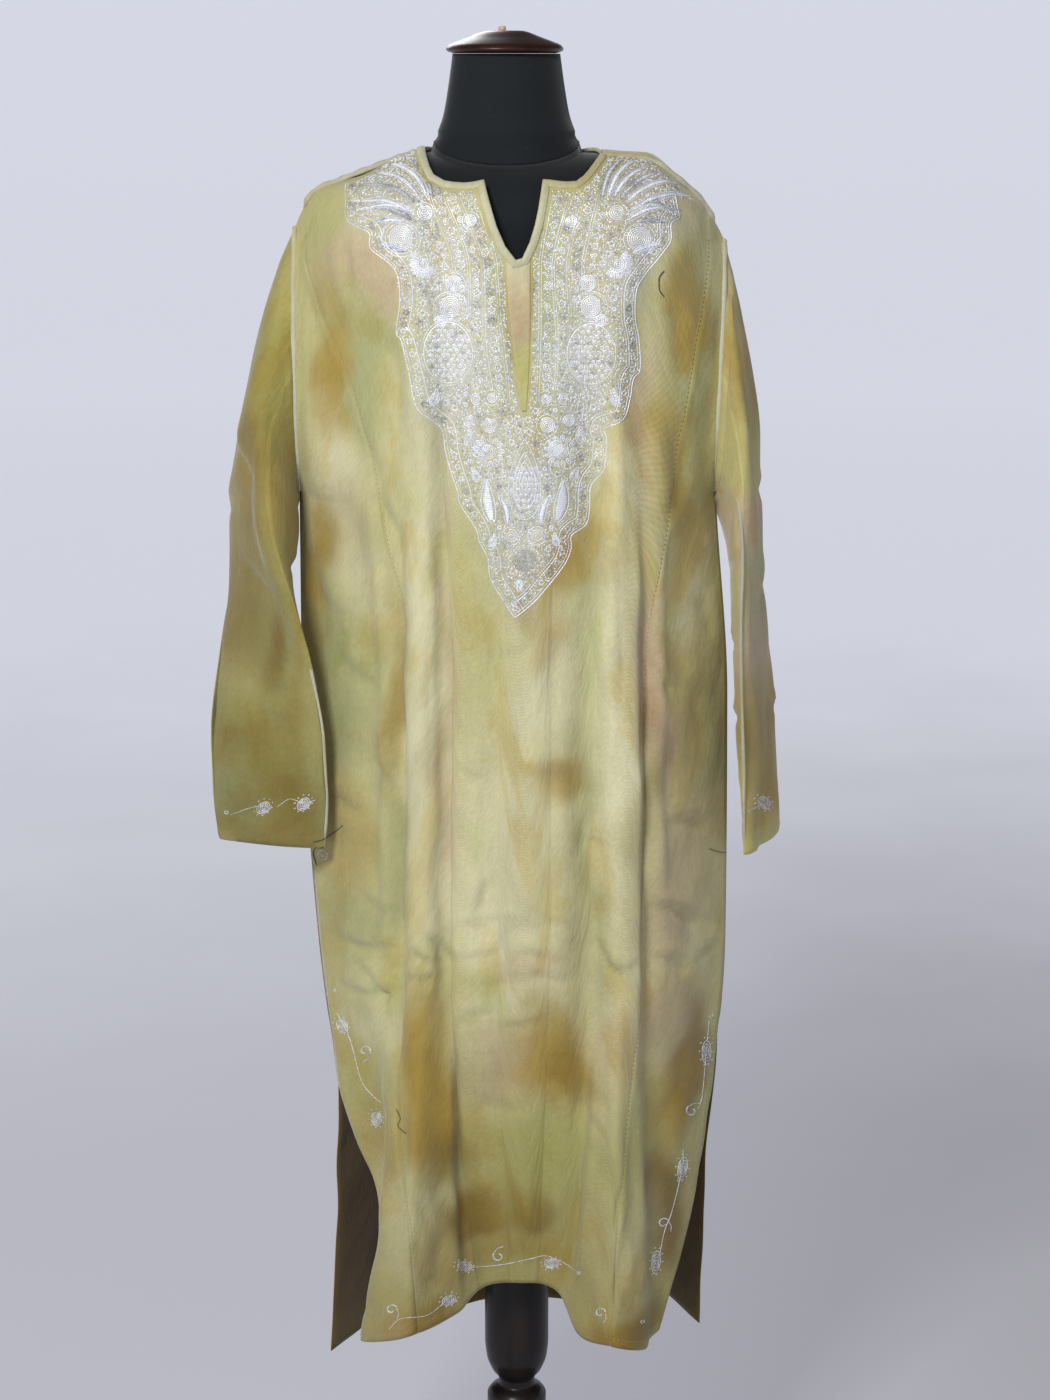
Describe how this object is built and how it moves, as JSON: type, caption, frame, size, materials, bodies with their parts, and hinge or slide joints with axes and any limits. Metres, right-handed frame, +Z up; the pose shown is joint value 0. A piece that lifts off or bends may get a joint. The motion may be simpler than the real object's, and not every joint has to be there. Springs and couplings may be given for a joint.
{
  "type": "pheran on a dress form",
  "caption": "Long loose embroidered pheran worn on a limbless dress form that stands on a turned pole and a round base.",
  "frame": {"origin": "centre of the underside of the stand's round base", "axes": "+Z up along the pole, the front of the garment faces -Y, +X to the right of someone looking at the front"},
  "size_m": [0.5776, 0.38, 1.6026],
  "materials": {
    "front_center": "soft twill wool",
    "front_gore_left": "soft twill wool",
    "front_gore_right": "soft twill wool",
    "back_center": "soft twill wool",
    "back_gore_left": "soft twill wool",
    "back_gore_right": "soft twill wool",
    "sleeve_left": "soft twill wool",
    "sleeve_right": "soft twill wool",
    "neck_binding_left": "soft twill wool",
    "neck_binding_right": "soft twill wool",
    "neck_binding_back": "soft twill wool",
    "slit_binding_left": "soft twill wool",
    "slit_binding_right": "soft twill wool",
    "placket_strip": "plain undyed cloth",
    "form_torso": "matte black jersey",
    "form_neck": "matte black jersey",
    "neck_cap": "gloss dark brown lacquer",
    "cap_peg": "bare wood",
    "pole": "gloss black lacquer",
    "stand_base": "gloss black lacquer"
  },
  "bodies": {
    "root": {"front_center": "front_center", "front_gore_left": "front_gore_left", "front_gore_right": "front_gore_right", "back_center": "back_center", "back_gore_left": "back_gore_left", "back_gore_right": "back_gore_right", "sleeve_left": "sleeve_left", "sleeve_right": "sleeve_right", "neck_binding_left": "neck_binding_left", "neck_binding_right": "neck_binding_right", "neck_binding_back": "neck_binding_back", "slit_binding_left": "slit_binding_left", "slit_binding_right": "slit_binding_right", "placket_strip": "placket_strip", "form_torso": "form_torso", "form_neck": "form_neck", "neck_cap": "neck_cap", "cap_peg": "cap_peg", "pole": "pole", "stand_base": "stand_base"}
  },
  "joints": []
}
